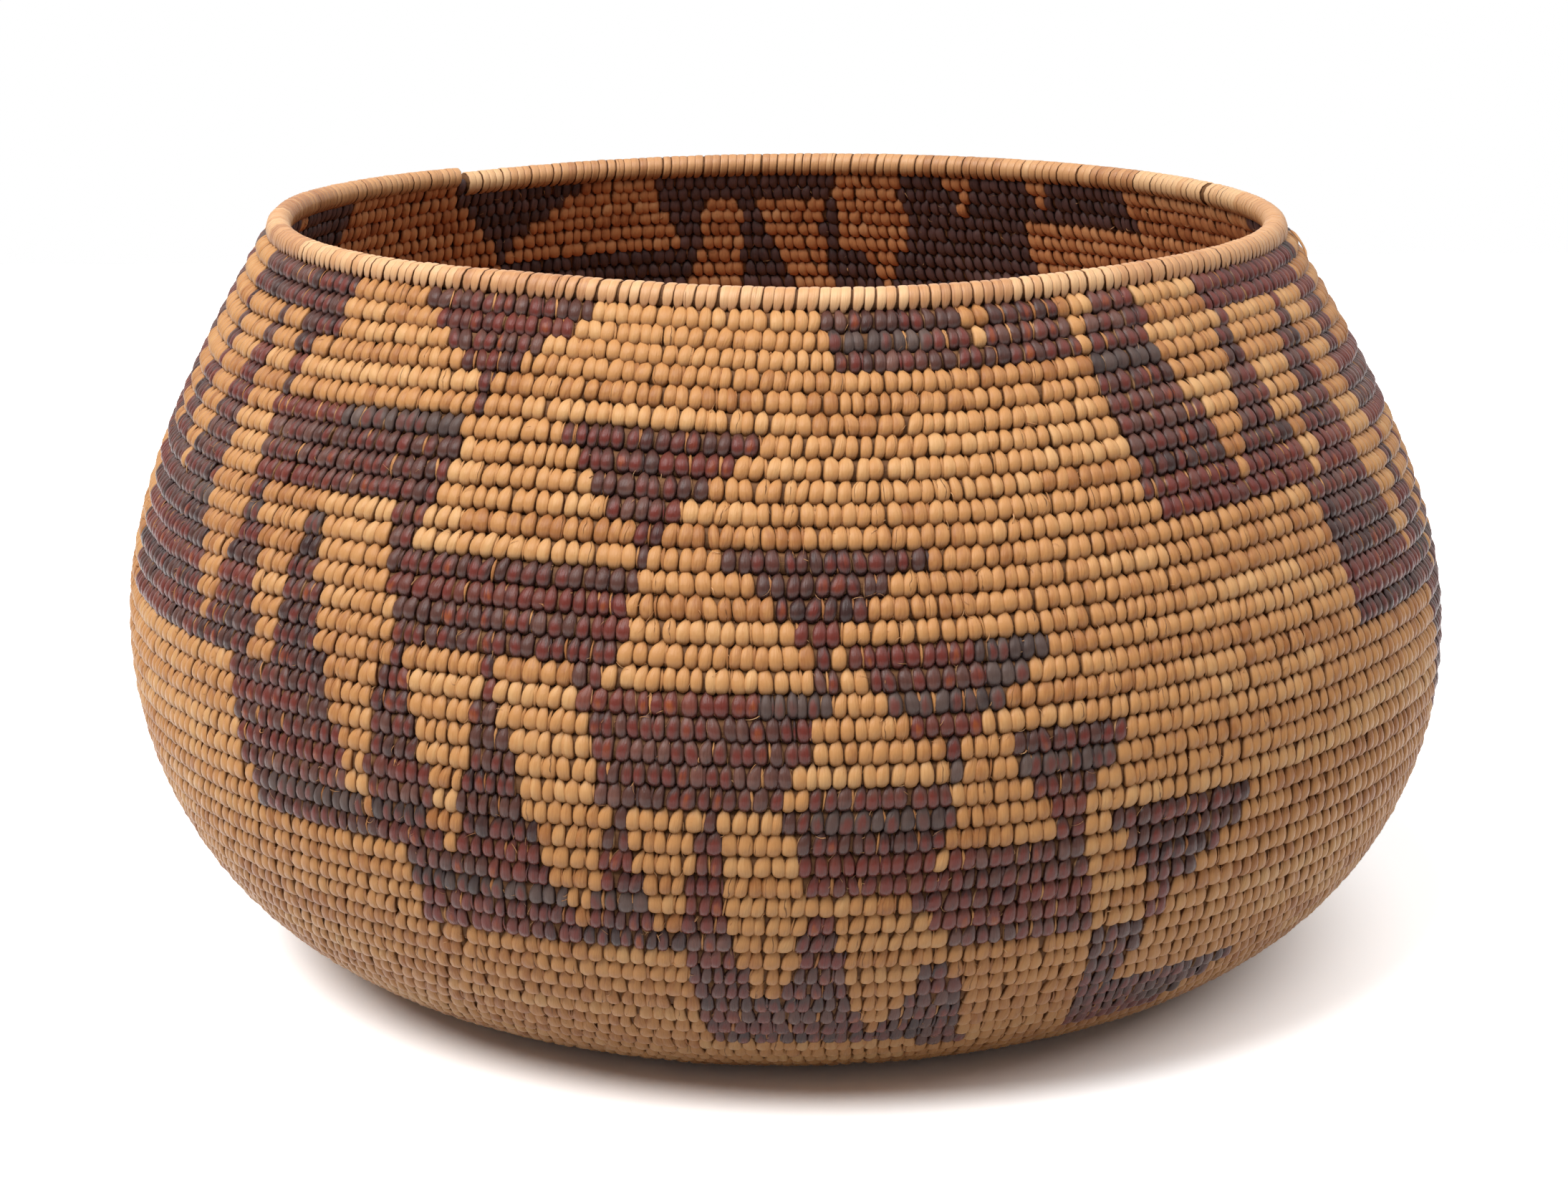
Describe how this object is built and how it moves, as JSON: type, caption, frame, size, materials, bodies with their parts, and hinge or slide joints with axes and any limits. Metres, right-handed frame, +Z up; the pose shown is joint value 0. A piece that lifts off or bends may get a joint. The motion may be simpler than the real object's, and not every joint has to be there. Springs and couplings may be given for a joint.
{
  "type": "basket bowl",
  "caption": "Round-bellied coiled basket bowl with a flat base and an open neck, sewn in light strand with stepped bands in dark strand.",
  "frame": {"origin": "on the surface that the basket stands on, under the middle of its belly", "axes": "+Z up, +X to the right in the picture, -Y towards its camera"},
  "size_m": [0.32, 0.32, 0.1811],
  "materials": {
    "light_strand": "satin golden tan split strand",
    "rim_strand": "satin pale peach split strand, worn smooth",
    "dark_strand": "satin dark purple-brown split strand",
    "foundation_rod": "dull brown peeled rod"
  },
  "bodies": {
    "root": {"start_knot": "light_strand", "base_coil": "light_strand", "foot_coil": "light_strand", "heel_coil": "light_strand", "lower_belly_coil": "light_strand", "belly_coil": "light_strand", "upper_belly_coil": "light_strand", "shoulder_coil": "light_strand", "neck_coil": "light_strand", "rim_wrapping": "rim_strand", "rim_rod_outer": "foundation_rod", "rim_rod_upper": "foundation_rod", "rim_rod_lower": "foundation_rod"}
  },
  "joints": []
}
